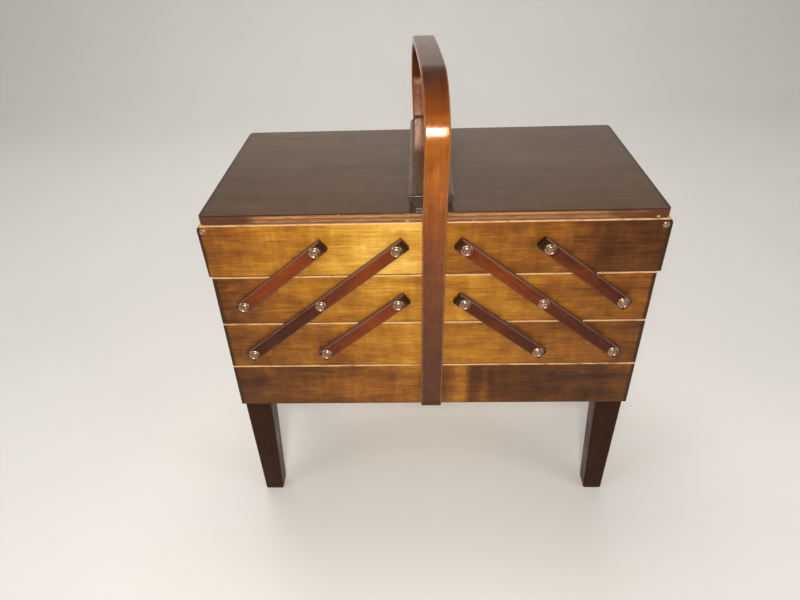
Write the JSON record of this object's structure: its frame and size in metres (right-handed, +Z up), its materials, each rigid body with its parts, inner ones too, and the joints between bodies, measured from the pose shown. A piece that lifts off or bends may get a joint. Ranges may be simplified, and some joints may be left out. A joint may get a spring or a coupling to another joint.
{
  "type": "cantilever sewing box with trays",
  "caption": "Wooden sewing box on tapered legs; side trays swing out level on parallel arms, top trays have hinged lids, and a bentwood hoop carries it.",
  "frame": {"origin": "centre of the footprint on the floor, midway between the four feet", "axes": "+X to the right of a person facing the front, +Y from the front to the rear, +Z up"},
  "size_m": [0.526, 0.2934, 0.612],
  "materials": {
    "board_wood": "glossy",
    "end_wood": "satin",
    "bottom_plywood": "satin",
    "lid_wood": "glossy",
    "grip_wood": "glossy",
    "arm_wood": "glossy",
    "leg_wood": "glossy",
    "hoop_wood": "glossy",
    "hinge_pin_metal": "satin"
  },
  "bodies": {
    "base": {"base_front_lower_plank": "board_wood", "base_front_upper_plank": "board_wood", "base_rear_lower_plank": "board_wood", "base_rear_upper_plank": "board_wood", "left_base_end": "end_wood", "left_front_leg": "leg_wood", "left_rear_leg": "leg_wood", "right_base_end": "end_wood", "right_front_leg": "leg_wood", "right_rear_leg": "leg_wood", "base_bottom": "bottom_plywood", "hoop": "hoop_wood"},
    "left_middle_tray": {"left_middle_tray_front": "board_wood", "left_middle_tray_rear": "board_wood", "left_middle_tray_outer_end": "end_wood", "left_middle_tray_inner_end": "end_wood", "left_middle_tray_bottom": "bottom_plywood"},
    "left_top_tray": {"left_top_tray_front": "board_wood", "left_top_tray_rear": "board_wood", "left_top_tray_outer_end": "end_wood", "left_top_tray_inner_end": "end_wood", "left_top_tray_bottom": "bottom_plywood"},
    "left_lid": {"left_lid_panel": "lid_wood", "left_lid_rail": "lid_wood", "left_lid_grip": "grip_wood", "left_lid_front_pin": "hinge_pin_metal", "left_lid_rear_pin": "hinge_pin_metal"},
    "left_upper_arms": {"left_front_upper_arm": "arm_wood", "left_rear_upper_arm": "arm_wood"},
    "left_long_arms": {"left_front_long_arm": "arm_wood", "left_rear_long_arm": "arm_wood"},
    "left_lower_arms": {"left_front_lower_arm": "arm_wood", "left_rear_lower_arm": "arm_wood"},
    "right_middle_tray": {"right_middle_tray_front": "board_wood", "right_middle_tray_rear": "board_wood", "right_middle_tray_outer_end": "end_wood", "right_middle_tray_inner_end": "end_wood", "right_middle_tray_bottom": "bottom_plywood"},
    "right_top_tray": {"right_top_tray_front": "board_wood", "right_top_tray_rear": "board_wood", "right_top_tray_outer_end": "end_wood", "right_top_tray_inner_end": "end_wood", "right_top_tray_bottom": "bottom_plywood"},
    "right_lid": {"right_lid_panel": "lid_wood", "right_lid_rail": "lid_wood", "right_lid_grip": "grip_wood", "right_lid_front_pin": "hinge_pin_metal", "right_lid_rear_pin": "hinge_pin_metal"},
    "right_upper_arms": {"right_front_upper_arm": "arm_wood", "right_rear_upper_arm": "arm_wood"},
    "right_long_arms": {"right_front_long_arm": "arm_wood", "right_rear_long_arm": "arm_wood"},
    "right_lower_arms": {"right_front_lower_arm": "arm_wood", "right_rear_lower_arm": "arm_wood"}
  },
  "joints": [
    {"name": "left_swing", "type": "hinge", "parent": "base", "child": "left_long_arms", "pos_m": [-0.2241, 0, 0.2824], "axis": [0, -1, 0], "range_deg": [0, 102]},
    {"name": "left_middle_level", "type": "hinge", "parent": "left_long_arms", "child": "left_middle_tray", "pos_m": [-0.1318, 0, 0.3561], "axis": [0, -1, 0], "range_deg": [-102, 0]},
    {"name": "left_top_level", "type": "hinge", "parent": "left_long_arms", "child": "left_top_tray", "pos_m": [-0.0395, 0, 0.4298], "axis": [0, -1, 0], "range_deg": [-102, 0]},
    {"name": "left_lower_swing", "type": "hinge", "parent": "base", "child": "left_lower_arms", "pos_m": [-0.1318, 0, 0.2824], "axis": [0, -1, 0], "range_deg": [0, 102]},
    {"name": "left_upper_swing", "type": "hinge", "parent": "left_middle_tray", "child": "left_upper_arms", "pos_m": [-0.2241, 0, 0.3561], "axis": [0, -1, 0], "range_deg": [0, 102]},
    {"name": "left_lid_hinge", "type": "hinge", "parent": "left_top_tray", "child": "left_lid", "pos_m": [-0.256, 0, 0.4538], "axis": [0, -1, 0], "range_deg": [0, 110]},
    {"name": "right_swing", "type": "hinge", "parent": "base", "child": "right_long_arms", "pos_m": [0.2241, 0, 0.2824], "axis": [0, 1, 0], "range_deg": [0, 102]},
    {"name": "right_middle_level", "type": "hinge", "parent": "right_long_arms", "child": "right_middle_tray", "pos_m": [0.1318, 0, 0.3561], "axis": [0, 1, 0], "range_deg": [-102, 0]},
    {"name": "right_top_level", "type": "hinge", "parent": "right_long_arms", "child": "right_top_tray", "pos_m": [0.0395, 0, 0.4298], "axis": [0, 1, 0], "range_deg": [-102, 0]},
    {"name": "right_lower_swing", "type": "hinge", "parent": "base", "child": "right_lower_arms", "pos_m": [0.1318, 0, 0.2824], "axis": [0, 1, 0], "range_deg": [0, 102]},
    {"name": "right_upper_swing", "type": "hinge", "parent": "right_middle_tray", "child": "right_upper_arms", "pos_m": [0.2241, 0, 0.3561], "axis": [0, 1, 0], "range_deg": [0, 102]},
    {"name": "right_lid_hinge", "type": "hinge", "parent": "right_top_tray", "child": "right_lid", "pos_m": [0.256, 0, 0.4538], "axis": [0, 1, 0], "range_deg": [0, 110]}
  ],
  "couplings": [
    {"joint": "left_middle_level", "follows": "left_swing", "ratio": -1},
    {"joint": "left_top_level", "follows": "left_swing", "ratio": -1},
    {"joint": "left_lower_swing", "follows": "left_swing", "ratio": 1},
    {"joint": "left_upper_swing", "follows": "left_swing", "ratio": 1},
    {"joint": "right_middle_level", "follows": "right_swing", "ratio": -1},
    {"joint": "right_top_level", "follows": "right_swing", "ratio": -1},
    {"joint": "right_lower_swing", "follows": "right_swing", "ratio": 1},
    {"joint": "right_upper_swing", "follows": "right_swing", "ratio": 1}
  ]
}
